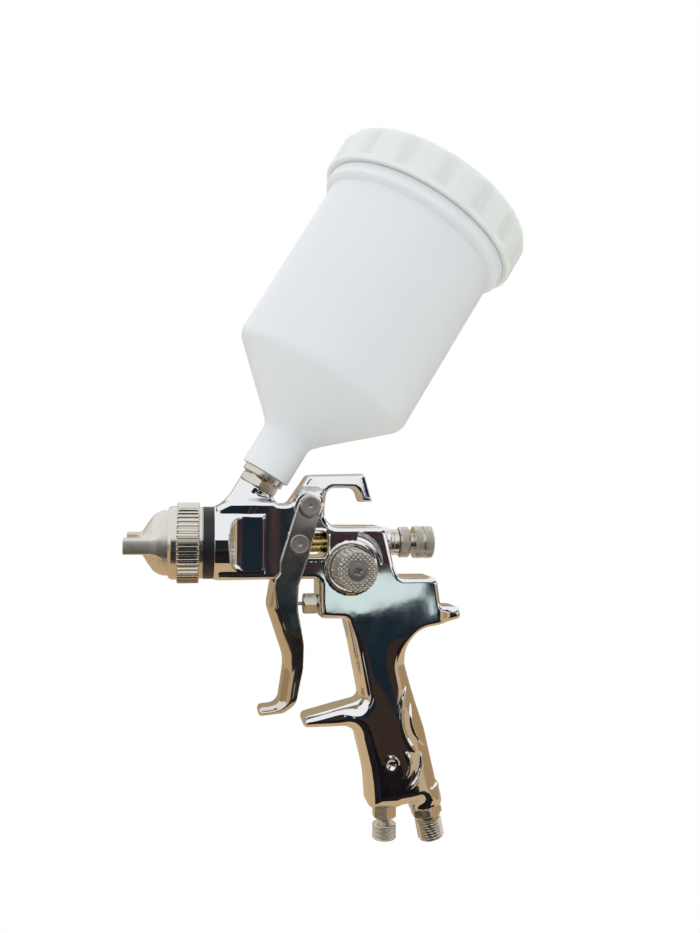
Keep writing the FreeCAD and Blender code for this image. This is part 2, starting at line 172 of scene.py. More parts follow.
def rod(x, y, z, base, axis, radius, start, end, edge=0.3):
    """A cylinder with softened ends."""
    px, py, pz = x - base[0], y - base[1], z - base[2]
    s = px * axis[0] + py * axis[1] + pz * axis[2]
    r = np.sqrt(np.maximum(px * px + py * py + pz * pz - s * s, 0))
    a, b = r - radius + edge, np.abs(s - (start + end) / 2) - (end - start) / 2 + edge
    return np.sqrt(np.maximum(a, 0) ** 2 + np.maximum(b, 0) ** 2) + np.minimum(np.maximum(a, b), 0) - edge


def surface(values, low, step):
    """The zero surface of a grid of distances, as points and four-sided faces."""
    inside = values < 0
    shape = np.array(values.shape) - 1
    corner = [(i, j, k) for i in (0, 1) for j in (0, 1) for k in (0, 1)]
    total = sum(inside[i:i + shape[0], j:j + shape[1], k:k + shape[2]].astype(np.int8) for i, j, k in corner)
    where = np.argwhere((total > 0) & (total < 8))
    number = np.full(shape, -1)
    number[tuple(where.T)] = np.arange(len(where))
    place, hits = np.zeros((len(where), 3)), np.zeros(len(where))
    for a in corner:
        for axis in range(3):
            if a[axis]:
                continue
            b = tuple(a[n] + (n == axis) for n in range(3))
            va, vb = values[tuple((where + a).T)], values[tuple((where + b).T)]
            cut = (va < 0) != (vb < 0)
            t = np.where(cut, va / np.where(cut, va - vb, 1), 0)
            point = np.array(a) + t[:, None] * (np.array(b) - np.array(a))
            place += point * cut[:, None]
            hits += cut
    points = (where + place / hits[:, None]) * step + low
    faces = []
    for axis in range(3):
        u, v = (axis + 1) % 3, (axis + 2) % 3
        first = [slice(None)] * 3
        second = [slice(None)] * 3
        first[axis], second[axis] = slice(0, -1), slice(1, None)
        change = inside[tuple(first)] != inside[tuple(second)]
        edge = np.argwhere(change)
        edge = edge[(edge[:, u] > 0) & (edge[:, v] > 0) & (edge[:, u] < shape[u]) & (edge[:, v] < shape[v])]
        ring = []
        for du, dv in ((-1, -1), (0, -1), (0, 0), (-1, 0)):
            cell = edge.copy()
            cell[:, u] += du
            cell[:, v] += dv
            ring.append(number[tuple(cell.T)])
        quad = np.stack(ring, 1)
        outward = inside[tuple(edge.T)]
        quad[~outward] = quad[~outward][:, ::-1]
        faces.append(quad)
    return points, np.concatenate(faces)


def gradient(solid, points, reach=0.04):
    result = np.empty_like(points)
    for axis in range(3):
        ahead, behind = points.copy(), points.copy()
        ahead[:, axis] += reach
        behind[:, axis] -= reach
        result[:, axis] = (solid(*ahead.T) - solid(*behind.T)) / (2 * reach)
    return result


def carve(name, solid, low, high, step):
    """A piece from a distance function: meshed on a grid, then drawn exactly onto the surface."""
    low, high = np.array(low, float), np.array(high, float)
    count = ((high - low) / step).astype(int) + 2
    x, y, z = (low[n] + step * np.arange(count[n]) for n in range(3))
    values = solid(x[:, None, None], y[None, :, None], z[None, None, :])
    points, faces = surface(np.broadcast_to(values, count), low, step)
    for _ in range(3):
        slope = gradient(solid, points)
        size = np.maximum((slope ** 2).sum(1), 0.1)
        move = np.clip(solid(*points.T) / size, -0.3 * step, 0.3 * step)
        points = points - slope * move[:, None]
    normals = gradient(solid, points, 0.12)
    normals /= np.maximum(np.linalg.norm(normals, axis=1), 1e-9)[:, None]
    return piece(name, points, faces, normals)


# ---- meshes ------------------------------------------------------------------------------------
def piece(name, points, faces, normals=None, sharp=35):
    """A mesh object from points in design millimetres."""
    mesh = bpy.data.meshes.new(name)
    mesh.from_pydata((np.asarray(points) / 1000 + np.array(HOME)).tolist(), [], np.asarray(faces).tolist()
                     if isinstance(faces, np.ndarray) else faces)
    obj = bpy.data.objects.new(name, mesh)
    bpy.context.scene.collection.objects.link(obj)
    if normals is None:
        cleaned = bmesh.new()
        cleaned.from_mesh(mesh)
        bmesh.ops.remove_doubles(cleaned, verts=cleaned.verts, dist=2e-6)
        bmesh.ops.recalc_face_normals(cleaned, faces=cleaned.faces)
        cleaned.to_mesh(mesh)
        cleaned.free()
    mesh.shade_smooth()
    if normals is None:
        mesh.set_sharp_from_angle(angle=radians(sharp))
    else:
        mesh.normals_split_custom_set_from_vertices(normals.tolist())
    return obj


def side_axes(axis):
    """Two directions square to an axis, the first as level as can be."""
    axis = np.asarray(axis, float)
    first = np.cross(axis, Y) if abs(axis @ Y) < 0.9 else np.cross(axis, Z)
    first /= np.linalg.norm(first)
    return first, np.cross(axis, first)


def turned(name, profile, base, axis, around=128, relief=None, step=0.35, closed=False, sharp=35):
    """A turned piece. The profile is (distance along, radius, rounding), and relief(angle, along, radius)
    cuts it."""
    path = profile if isinstance(profile, np.ndarray) else rounded(profile, step, closed)
    angle = np.arange(around) * 2 * pi / around
    along, radius = path[:, :1], path[:, 1:2] + 0 * angle
    if relief:
        radius = relief(angle[None, :], along + 0 * radius, radius)
    u, v = side_axes(axis)
    points = (np.asarray(base, float) + along[..., None] * np.asarray(axis, float)
              + radius[..., None] * (np.cos(angle)[:, None] * u + np.sin(angle)[:, None] * v))
    rows = len(path)
    faces = []
    for row in range(rows if closed else rows - 1):
        a, b = row * around, (row + 1) % rows * around
        faces += [(a + i, a + (i + 1) % around, b + (i + 1) % around, b + i) for i in range(around)]
    return piece(name, points.reshape(-1, 3), faces, sharp=sharp)


def wave(value):
    """A triangle wave: 0 at whole numbers and 1 half way between."""
    return 1 - np.abs(2 * (value - np.floor(value)) - 1)


def diamond_knurl(start, end, count, pitch, depth):
    """Crossed V grooves between two places along the axis."""
    def cut(angle, along, radius):
        turn = angle * count / (2 * pi)
        height = np.minimum(wave(turn + along / pitch), wave(turn - along / pitch))
        inside = (along > start) & (along < end)
        fade = np.clip(np.minimum(along - start, end - along) / 0.25, 0, 1)
        return radius - np.where(inside, depth * (1 - np.clip(height * 1.3, 0, 1)) * fade, 0)
    return cut


def dense(profile, spans, step):
    """A profile path with extra rows where the surface is cut, between the given places."""
    path = rounded(profile, step=0.35, closed=False)
    rows = [path[0]]
    for a, b in zip(path[:-1], path[1:]):
        middle = (a[0] + b[0]) / 2
        fine = any(low <= middle <= high for low, high in spans) and abs(b[0] - a[0]) > step
        count = int(np.ceil(np.linalg.norm(b - a) / step)) if fine else 1
        rows += [a + (b - a) * n / count for n in range(1, count + 1)]
    return np.array(rows)


# ---- materials ---------------------------------------------------------------------------------
def material(name, color, metallic=0.0, roughness=0.5, **sockets):
    made = bpy.data.materials.new(name)
    made.use_nodes = True
    shader = made.node_tree.nodes["Principled BSDF"]
    shader.inputs["Base Color"].default_value = (*color, 1)
    shader.inputs["Metallic"].default_value = metallic
    shader.inputs["Roughness"].default_value = roughness
    for socket, value in sockets.items():
        shader.inputs[socket.replace("_", " ")].default_value = value
    return made


def noise(made, scale, detail=4.0, stretch=(1, 1, 1)):
    """A noise texture in object space, in turns per metre."""
    nodes, links = made.node_tree.nodes, made.node_tree.links
    place = nodes.new("ShaderNodeTexCoord")
    mapping = nodes.new("ShaderNodeMapping")
    mapping.inputs["Scale"].default_value = stretch
    texture = nodes.new("ShaderNodeTexNoise")
    texture.inputs["Scale"].default_value = scale
    texture.inputs["Detail"].default_value = detail
    links.new(place.outputs["Object"], mapping.inputs["Vector"])
    links.new(mapping.outputs["Vector"], texture.inputs["Vector"])
    return texture.outputs["Fac"]


def ranged(made, value, low, high, start=0.3, stop=0.7):
    """A value spread over a new range."""
    node = made.node_tree.nodes.new("ShaderNodeMapRange")
    made.node_tree.links.new(value, node.inputs["Value"])
    for socket, number in (("From Min", start), ("From Max", stop), ("To Min", low), ("To Max", high)):
        node.inputs[socket].default_value = number
    return node.outputs["Result"]


def blended(made, value, first, second):
    """A colour that runs between two with a value."""
    node = made.node_tree.nodes.new("ShaderNodeMix")
    node.data_type = "RGBA"
    made.node_tree.links.new(value, node.inputs["Factor"])
    node.inputs["A"].default_value = (*first, 1)
    node.inputs["B"].default_value = (*second, 1)
    return node.outputs["Result"]


def wire(made, value, socket):
    made.node_tree.links.new(value, made.node_tree.nodes["Principled BSDF"].inputs[socket])


def bumped(made, value, strength, distance):
    node = made.node_tree.nodes.new("ShaderNodeBump")
    node.inputs["Strength"].default_value = strength
    node.inputs["Distance"].default_value = distance
    made.node_tree.links.new(value, node.inputs["Height"])
    wire(made, node.outputs["Normal"], "Normal")


def chrome():
    made = material("chrome", (0.80, 0.80, 0.83), 1.0, 0.05)
    wire(made, ranged(made, noise(made, 90), 0.03, 0.075), "Roughness")
    wire(made, blended(made, noise(made, 25), (0.79, 0.80, 0.84), (0.86, 0.85, 0.84)), "Base Color")
    bumped(made, noise(made, 130, 2), 0.035, 0.0003)
    return made


def plate_chrome():
    made = material("trigger_chrome", (0.66, 0.63, 0.58), 1.0, 0.12)
    wire(made, ranged(made, noise(made, 90, 4), 0.08, 0.17), "Roughness")
    wire(made, blended(made, noise(made, 40), (0.64, 0.61, 0.57), (0.72, 0.68, 0.62)), "Base Color")
    return made


def satin_nickel(name="satin_nickel", color=(0.70, 0.665, 0.60), low=0.2, high=0.34):
    made = material(name, color, 1.0, (low + high) / 2)
    wire(made, ranged(made, noise(made, 300, 6), low, high), "Roughness")
    darker = tuple(0.9 * c for c in color)
    wire(made, blended(made, ranged(made, noise(made, 60), 0, 1), color, darker), "Base Color")
    return made


def brushed_nickel():
    """Satin nickel with the fine circular marks of turning round the X axis."""
    made = satin_nickel("turned_nickel", (0.74, 0.71, 0.65), 0.16, 0.24)
    bumped(made, noise(made, 700, 2, (5, 0.2, 0.2)), 0.06, 0.00005)
    return made


def brass():
    made = material("brass", (0.80, 0.60, 0.24), 1.0, 0.2)
    wire(made, ranged(made, noise(made, 400), 0.14, 0.3), "Roughness")
    wire(made, blended(made, noise(made, 120), (0.80, 0.61, 0.25), (0.66, 0.47, 0.17)), "Base Color")
    return made


def steel():
    made = material("turned_steel", (0.50, 0.49, 0.48), 1.0, 0.26)
    wire(made, ranged(made, noise(made, 900, 5), 0.2, 0.36), "Roughness")
    wire(made, blended(made, noise(made, 200), (0.54, 0.53, 0.52), (0.44, 0.43, 0.43)), "Base Color")
    return made


def rubber():
    made = material("black_rubber", (0.006, 0.007, 0.012), 0, 0.42)
    wire(made, ranged(made, noise(made, 500), 0.35, 0.55), "Roughness")
    bumped(made, noise(made, 1200, 3), 0.2, 0.00005)
    return made


def nylon(name, color, deeper, glow):
    made = material(name, color, 0, 0.34)
    shader = made.node_tree.nodes["Principled BSDF"]
    shader.inputs["Subsurface Weight"].default_value = glow
    shader.inputs["Subsurface Radius"].default_value = (1.0, 0.95, 0.85)
    shader.inputs["Subsurface Scale"].default_value = 0.006
    wire(made, blended(made, ranged(made, noise(made, 14), 0, 1), color, deeper), "Base Color")
    wire(made, ranged(made, noise(made, 250), 0.3, 0.42), "Roughness")
    bumped(made, noise(made, 420, 3), 0.12, 0.00015)
    return made


def seal():
    made = material("white_seal", (0.85, 0.85, 0.83), 0, 0.4)
    wire(made, ranged(made, noise(made, 300), 0.34, 0.5), "Roughness")
    return made


# ---- the casting -------------------------------------------------------------------------------
MAIN = [
    (-66, -17.4), (-66, 17.4), (-60, 20.5, 2), (-38, 20.5, 1.5), (-36.5, 19.2, 1.5), (-31, 19.2, 4),
    (-25.2, 27, 4), (-14.6, 27, 4), (-13.9, 8.4, 6.5), (16, 8.4, 3.5), (20.2, -10.6, 8),
    (22.8, -16.8, 4), (42.2, -16.8, 3), (44.4, -31.4, 2.5), (54.4, -32, 2), (55.8, -37.5, 1.8),
    (46.4, -39.8, 12), (26.8, -43.2, 14), (27.5, -60, 8), (31, -71, 20), (38.8, -93.6, 40),
    (47.2, -129.6, 2), (36.9, -131.7, 0.6), (37.4, -127.6, 2), (26, -128.8), (24.4, -129.7, 0.4),
    (9.4, -129.7, 3), (8.1, -113, 60), (2, -88.9, 8), (-23.8, -88.9, 2.2), (-22.8, -84.2, 2.2),
    (5.6, -77.2, 3.5), (-2.6, -36.5, 2.5), (-16.2, -36.3, 2.5), (-16.4, -17, 3), (-37, -17, 0)]
HOOK = [
    (-30, 10), (-30.5, 20), (-22, 33.4, 3), (6.2, 34.3, 2.5), (10.2, 20.2, 0.8), (4.8, 20.1, 0.8),
    (2.6, 27, 4), (-12.4, 27, 4.5), (-14.1, 16, 0)]
SLOT = [(-31, -6.6, 2.4), (-31, 5.9, 2.4), (-13.1, 5.9, 2.4), (-13.1, -6.6, 2.4)]
HOOK_HALF = 8.0
THIN_HALF = 9.5
HORN_TURN = 4.0     # degrees
HORN_HALF = 3.7
RIDGES = [   # middle x and z, radius, first and last angle in degrees, half width, height
    (50, -84, 14, 118, 236, 1.7, 0.8), (50, -84, 19.5, 112, 240, 1.9, 0.95),
    (50, -84, 25.5, 116, 226, 1.6, 0.8), (20.5, -108, 8.5, -58, 56, 1.4, 0.7),
    (20, -106, 15.5, -64, 20, 1.4, 0.7)]
DIMPLE = (19.5, -107.0, 3.0)


def ramp(value, start, stop):
    t = np.clip((value - start) / (stop - start), 0, 1)
    return t * t * (3 - 2 * t)


def ridge_height(x, z):
    """Raised curved ridges on both sides of the grip, and a round dimple with a rim."""
    height = 0
    for cx, cz, radius, first, last, width, tall in RIDGES:
        away = np.hypot(x - cx, z - cz)
        angle = np.degrees(np.arctan2(z - cz, x - cx)) % 360
        middle, half = (first + last) / 2, (last - first) / 2
        past = np.abs((angle - middle + 180) % 360 - 180) - half
        fade = 1 - ramp(past * radius * pi / 180, -5, 0.5)
        shape = np.clip(1 - np.abs(away - radius) / (width * (0.55 + 0.45 * fade)), 0, 1)
        height = np.maximum(height, tall * shape * shape * (3 - 2 * shape) * fade)
    away = np.hypot(x - DIMPLE[0], z - DIMPLE[1]) / DIMPLE[2]
    return height + 0.5 * np.exp(-((away - 1) / 0.3) ** 2) - 0.7 * np.exp(-(away / 0.6) ** 2)


def casting():
    """The chromed body as a distance function."""
    grid = Field((-69, -139), (62, 37))
    x, z = grid.x, grid.z
    side = outline_distance(grid, rounded(MAIN)).softened(0.45)
    hook = outline_distance(grid, rounded(HOOK)).softened(0.35)
    slot = outline_distance(grid, rounded(SLOT)).softened(0.3)
    grip = 1 - ramp(z + 0.35 * x, -52, -34)
    finger = (1 - ramp(x, -6, 4)) * (1 - ramp(z, -76, -70))
    tail = ramp(x, 43, 50)
    back = 27.5 - 0.27 * (z + 60)
    fall = 5.0 * np.clip((x - back + 17) / 17, 0, 1) ** 2 * (1 - ramp(z, -84, -44))
    half = BODY_HALF - (BODY_HALF - THIN_HALF) * np.maximum(finger, tail) - fall
    deep = 1 - ramp(side.value, -9.0, -1.0)
    half = grid.like(half + ridge_height(x, z) * grip * (0.35 + 0.65 * deep)).softened(0.3)
    edge = grid.like(2.5 + 5.0 * grip * (1 - finger) * (1 - tail) + finger + 0.6 * tail).softened(1.5)
    pocket = outline_distance(grid, rounded([(-53.5, -15.5, 7), (-53.5, 17.5, 7), (0, 17.5), (0, -15.5)]))
    away = np.clip(pocket.value, 0, 6.5)
    cove = grid.like(BODY_HALF + 6.5 - np.sqrt(6.5 ** 2 - away ** 2) + 0.02).softened(0.3)

    def solid(x, y, z):
        body = slab(side.at(x, z), y, half.at(x, z), edge.at(x, z))
        hanger = slab(hook.at(x, z), y, HOOK_HALF, 2.0)
        body = soft_min(body, hanger, 1.6)
        tube = np.sqrt(y * y + z * z)
        barrel = soft_max(tube - 17.8, np.abs(y) - cove.at(x, z), 0.8)
        body = soft_min(body, soft_max(barrel, np.maximum(-66.9 - x, x + 44), 0.5), 1.2)
        body = soft_min(body, rod(x, y, z, CUP_FOOT, CUP_AXIS, 9.3, -34, -8.05, 0.6), 4.0)
        body = soft_min(body, rod(x, y, z, PIVOT, Y, 7.2, -BODY_HALF - 0.4, BODY_HALF + 0.4, 0.5), 0.8)
        body = soft_min(body, rod(x, y, z, (0, 0, 0), X, 7.2, 14, 20, 0.5), 1.2)
        body = soft_min(body, rod(x, y, z, INLET_END, INLET_UP, 8.2, 16.6, 26, 0.6), 2.5)
        body = np.minimum(body, rod(x, y, z, (0, 0, 0), X, 16.4, -82, -66, 0.5))
        rim = np.abs(slot.at(x, z) - 0.55) - 0.5
        body = soft_min(body, slab(rim, y, BODY_HALF + 0.2, 0.25), 0.5)
        fan = np.hypot(x - FAN_X, z - FAN_Z)
        ring = np.sqrt((fan - 12.2) ** 2 + (y + BODY_HALF - 0.2) ** 2) - 0.55
        body = soft_min(body, ring, 0.5)
        swing = np.degrees(np.arctan2(z - FAN_Z, x - FAN_X))
        wide = 2.0 * (1 - np.clip((70 - swing) / 66, 0, 1) ** 1.5)
        wide = np.where((swing > 0) & (swing < 78), wide, 0)
        crescent = np.sqrt((fan - 15.6) ** 2 + (1.5 * (y + BODY_HALF)) ** 2) - np.maximum(wide, 0.01)
        body = np.where(wide > 0.05, soft_max(body, -crescent, 0.5), body)
        body = soft_max(body, -slab(slot.at(x, z), y, 30, 0.2), 0.5)
        body = soft_max(body, -rod(x, y, z, (FAN_X, 0, FAN_Z), Y, 11.7, -30, -11.0, 0.3), 0.4)
        for base, axis, radius, start, end in (
                ((0, 0, 0), X, 13, -84, -70), ((0, 0, 0), X, 5.4, -32, 13), ((0, 0, 0), X, 6.0, 8, 24),
                ((0, 0, 0), X, 6.6, 20.0, 24), (CUP_FOOT, CUP_AXIS, 6.55, -19, -5), (PIVOT, Y, 2.6, -20, 20),
                ((0, 0, -30), X, 4.4, -18, 10), ((FAN_X, 0, FAN_Z), Y, 4.55, -20, 3.5),
                ((18.6, 0, 0), Z, 4.05, -140, -113), (INLET_END, INLET_UP, 5.95, 10, 34)):
            body = soft_max(body, -rod(x, y, z, base, axis, radius, start, end, 0.1), 0.3)
        return body
    return solid


def make_casting(look):
    body = carve("casting", casting(), (-83, -18.6, -134.5), (58, 18.6, 36), 0.6)
    dress(body, look, "gun", "chromed_casting", "gun_body")


# ---- trigger -----------------------------------------------------------------------------------
TRIGGER = [
    (-16.1, 19.2), (-19, 7), (-22.2, -6.5), (-26.9, -20, 6), (-27.1, -31, 20), (-24, -48, 14),
    (-24, -60, 14), (-27.2, -77, 8), (-33, -82.3, 5), (-45.2, -83.3, 1.8), (-44.7, -79.2, 1.9),
    (-35.4, -78.4, 5), (-32.3, -57, 18), (-41, -31, 8), (-38, -16, 2), (-35.9, -14, 2), (-35.8, -8, 5),
    (-27.4, 19.6)]
HOLLOW = [(-4, 40), (-4, -72), (-30.4, -73.5, 4), (-30.4, -57, 18), (-39.1, -31, 7), (-37.6, -18.6),
          (-60, -18.6), (-60, 40)]
FRONT = [(-4, 19.6), (-27.4, 19.6), (-35.8, -8, 5), (-35.9, -14, 2), (-38, -16, 2), (-41, -31, 8),
         (-32.3, -57, 18), (-35.4, -78.4, 5), (-44.7, -79.2, 1.9), (-45.2, -83.3, 1.8), (-33, -82.3, 5),
         (-27.2, -80, 4), (-4, -78)]
TRIGGER_HALF, FINGER_WIDTH, TRIGGER_WALL = 14.6, 11.0, 1.5


def trigger_solid():
    grid = Field((-52, -88), (-8, 27), 0.25)
    side = outline_distance(grid, rounded(TRIGGER)).softened(0.3)
    front = outline_distance(grid, rounded(FRONT)).softened(0.3)
    hollow = outline_distance(grid, rounded(HOLLOW)).softened(0.3)

    def solid(x, y, z):
        half = TRIGGER_HALF - (TRIGGER_HALF - FINGER_WIDTH) * ramp(-z, 40, 68)
        edge = 0.4 + 7.2 * ramp(-z, 16, 38)
        body = soft_max(slab(front.at(x, z), y, half, edge), side.at(x, z), 0.5)
        body = soft_min(body, rod(x, y, z, PIVOT, Y, 5.5, -TRIGGER_HALF, TRIGGER_HALF, 0.4), 0.3)
        inner = slab(hollow.at(x, z), y, half - TRIGGER_WALL, np.maximum(edge - TRIGGER_WALL, 0.1))
        return soft_max(body, -inner, 0.4)
    return solid


def make_trigger(look):
    low, high = (-49, -15.2, -85.5), (-14, 15.2, 25)
    dress(carve("trigger_channel", trigger_solid(), low, high, 0.5), look,
          "trigger", "chromed_trigger", "trigger")


def dress(obj, look, body, slot, *nodes):
    """Gives a piece its material and its body, and hides the CAD nodes that it stands for. The finish slot is not
    used.
    """
    obj.data.materials.clear()
    obj.data.materials.append(look)
    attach(obj, body)
    if nodes:
        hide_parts(*nodes)
    return obj


def make_pins(look):
    """Trigger pins: flat heads with a rounded rim, a turned groove and a centre mark."""
    for name, node, body, centre, shoulder, top in (
            ("pivot_pin", "trigger_pivot_pin", "gun", PIVOT, 14.7, 16.3),
            ("pivot_screw", "trigger_pivot_screw", "gun", PIVOT, 14.7, 16.3),
            ("cross_pin", "trigger_cross_pin", "trigger", CROSS, 14.6, 16.0)):
        sides = {"pivot_pin": (-1,), "pivot_screw": (1,), "cross_pin": (-1, 1)}[name]
        shank = {"pivot_pin": 2.48, "pivot_screw": 1.4, "cross_pin": 2.4}[name]
        inner = {"pivot_pin": -12.5, "pivot_screw": 4, "cross_pin": 13.1}[name]
        for side in sides:
            made = turned(f"{name}_{'near' if side < 0 else 'far'}", [
                (inner, 0), (inner, shank), (shoulder, shank), (shoulder, 4.6, 0.15), (top, 4.6, 0.45),
                (top, 3.9, 0.1), (top - 0.25, 3.7, 0.1), (top - 0.2, 1.0, 0.2), (top - 0.55, 0.5, 0.1),
                (top - 0.6, 0)], centre, Y * side, 72, step=0.1)
            dress(made, look, body, "steel_pin", node)
    bar = turned("cross_pin_bar", [(-13, 0), (-13, 4.1, 0.3), (-2.6, 4.1, 0.3), (-2.6, 0)], CROSS, Y, 64)
    dress(bar, look, "trigger", "steel_pin")
    bar = turned("cross_pin_bar_far", [(2.6, 0), (2.6, 4.1, 0.3), (13, 4.1, 0.3), (13, 0)], CROSS, Y, 64)
    dress(bar, look, "trigger", "steel_pin")


# ---- spray head --------------------------------------------------------------------------------
def cap_solid():
    turn = radians(HORN_TURN)

    def solid(x, across, up):
        y, z = across * cos(turn) + up * sin(turn), up * cos(turn) - across * sin(turn)
        r = np.sqrt(y * y + z * z)
        dome = np.interp(-x, (84, 90.6, 92.8, 95.4, 97.8, 100.2, 101.5),
                         (15.6, 15.6, 14.9, 13.2, 9.9, 6.0, 5.3))
        outer = soft_max((r - dome) * 0.8, -101.5 - x, 0.5)
        horn = soft_max(soft_max(r - 15.2, np.abs(z) - HORN_HALF, 0.8), np.maximum(-108.5 - x, x + 89.5), 0.3)
        gap = 6.3 + 0.4 * np.clip(-101.5 - x, 0, 9)
        horn = soft_max(horn, (gap - np.abs(y)) * 0.93, 0.6)
        cap = soft_max(soft_min(outer, horn, 2.6), r - 15.65, 0.1)
        flange = rod(x, y, z, (0, 0, 0), X, 16.4, -86.4, -84.4, 0.15)
        cap = np.minimum(soft_max(cap, x + 84.4, 0.2), flange)
        inside = np.interp(-x, (80, 87, 93, 99.5, 99.6, 103), (13.5, 13.5, 11.5, 2.7, 2.7, 2.7))
        cap = soft_max(cap, -(r - inside) * 0.8, 0.3)
        for side in (-1, 1):
            jet = rod(x, y, z, (-105.3, side * 9.4, 0), (-0.447, -side * 0.894, 0), 0.8, -3, 6, 0.1)
            small = rod(x, y, z, (0, 0, side * 4.0), X, 0.5, -103, -99.5, 0.05)
            cap = soft_max(soft_max(cap, -jet, 0.25), -small, 0.2)
        return cap
    return solid


def make_spray_head(cap_look, ring_look):
    step = 0.3
    cap = carve("air_cap_shell", cap_solid(), (-110.5, -17, -17), (-83.4, 17, 17), step)
    dress(cap, cap_look, "cap", "satin_nickel", "air_cap")
    teeth, bottom = 50, 0.9

    def knurl(angle, along, radius):
        ridge = np.clip(wave(angle * teeth / (2 * pi)) * 2.0 - 0.3, 0, 1)
        fade = np.clip(np.minimum(along + 84, -74 - along) / 0.5, 0, 1)
        return radius - np.where((along > -84) & (along < -74), bottom * (1 - ridge) * (0.3 + 0.7 * fade), 0)
    ring = dense([
        (-86.5, 15.8), (-88.3, 15.8), (-88.3, 16.6, 0.4), (-86.8, 17.6, 0.6), (-84.3, 17.6, 0.1),
        (-84.2, 19.4, 0.5), (-73.9, 19.4, 0.5), (-73.7, 17.2, 0.1), (-72.2, 17.2, 0.3), (-72.2, 16.6),
        (-86.5, 16.6)],
        [(-84, -74)], 0.5)
    made = turned("cap_ring_knurled", ring, (0, 0, 0), X, teeth * 12, knurl)
    dress(made, ring_look, "ring", "satin_nickel", "air_cap_ring")


# ---- knobs and nuts ----------------------------------------------------------------------------
def make_fluid_controls(look):
    first, second = (32.7, 36.4), (37.8, 41.5)
    knurls = [diamond_knurl(*span, 34, 1.45, 0.55) for span in (first, second)]

    def cut(angle, along, radius):
        outer = np.where(radius > 7.5, knurls[0](angle, along, radius), radius)
        return np.where(radius > 7.5, knurls[1](angle, along, outer), outer)
    path = dense([(32.4, 4.6), (32.4, 8, 0.5), (36.7, 8, 0.4), (36.7, 6.9), (37.5, 6.9), (37.5, 8, 0.4),
                  (42, 8, 0.7), (42, 5.6, 0.2), (41.6, 5.2, 0.2), (41.6, 0)], [first, second], 0.17)
    knob = turned("fluid_knob_knurled", path, (0, 0, 0), X, 340, cut)
    dress(knob, look, "fluid_knob", "satin_nickel", "fluid_knob")
    span = (25.6, 29.3)
    path = dense([(24.9, 4.6), (24.9, 7.0, 0.2), (25.5, 7.7, 0.2), (29.4, 7.7, 0.2), (30, 7.0, 0.2),
                  (30, 4.6), (24.9, 4.6)], [span], 0.17)
    ring = turned("lock_ring_knurled", path, (0, 0, 0), X, 320,
                  lambda a, s, r: np.where(r > 6.5, diamond_knurl(*span, 32, 1.4, 0.5)(a, s, r), r))
    dress(ring, look, "lock_ring", "satin_nickel", "fluid_lock_ring")
    barrel = turned("housing_turned", [
        (9, 4.6), (9, 5.95), (20.05, 5.95), (20.05, 6.4, 0.3), (21.4, 6.4, 0.1), (21.6, 6.15, 0.1),
        (21.9, 6.4, 0.1), (24.6, 6.4, 0.5), (24.6, 4.62), (9, 4.6)], (0, 0, 0), X, 96, step=0.15)
    dress(barrel, look, "gun", "satin_nickel", "fluid_control_housing")


def make_fan_knob(look, screw_look):
    """Fluted tapered knob whose face carries a ring of small square points."""
    base, out = np.array([FAN_X, 0, FAN_Z]), -Y
    flutes, foot, face = 24, 13.2, 31.0

    def cut(angle, along, radius):
        flute = np.clip(wave(angle * flutes / (2 * pi)) * 2.6 - 0.35, 0, 1)
        fade = np.clip((along - 15.2) / 1.0, 0, 1) * np.clip((30.9 - along) / 0.7, 0, 1)
        return radius - np.where(radius > 8, 0.9 * (1 - flute) * fade, 0)
    path = dense([(foot + 0.7, 8.4), (foot, 9.4), (foot, 10.3, 0.5), (15, 10.2, 0.4), (30.3, 9.5, 0.8),
                  (face - 0.2, 8.9, 0.3), (face - 0.75, 8.7, 0.1), (face - 0.8, 4.5, 0.1),
                  (30.1, 4.3), (30.1, 2.6)], [(15, 30.5)], 0.6)
    knob = turned("fan_knob_fluted", path, base, out, flutes * 12, cut)
    dress(knob, look, "fan_knob", "satin_nickel", "fan_knob")
    points, faces = [], []
    pitch, inner, outer = 2.15, 5.0, 8.3
    lattice = [(i + 0.5 * (j % 2), j * 0.5) for j in range(-9, 10) for i in range(-5, 6)]
    for a, b in lattice:
        u, v = a * pitch, b * pitch
        if not inner < np.hypot(u, v) < outer:
            continue
        start = len(points)
        for level, width in ((face - 0.9, 0.9), (face - 0.4, 0.8), (face + 0.05, 0.5), (face + 0.15, 0.25)):
            for n in range(8):
                turn = n * pi / 4
                bulge = width * (1.0 if n % 2 == 0 else 0.86)
                points.append(base + out * level + X * (u + bulge * cos(turn)) + Z * (v + bulge * sin(turn)))
        for level in range(3):
            for n in range(8):
                a0, a1 = start + level * 8 + n, start + level * 8 + (n + 1) % 8
                faces.append((a0, a1, a1 + 8, a0 + 8))
        faces.append(tuple(start + 24 + n for n in range(8)))
    beads = piece("fan_knob_beads", points, faces, sharp=60)
    dress(beads, look, "fan_knob", "satin_nickel")
    screw = turned("fan_screw", [
        (22.7, 0), (22.7, 1.5), (30.2, 1.5), (30.2, 4.1, 0.1), (31.35, 4.1, 0.3), (31.5, 2.2, 1), (31.5, 0)],
        base, out, 64, step=0.15)
    recess(screw, base, out)
    dress(screw, screw_look, "fan_knob", "steel_pin", "fan_knob_screw")


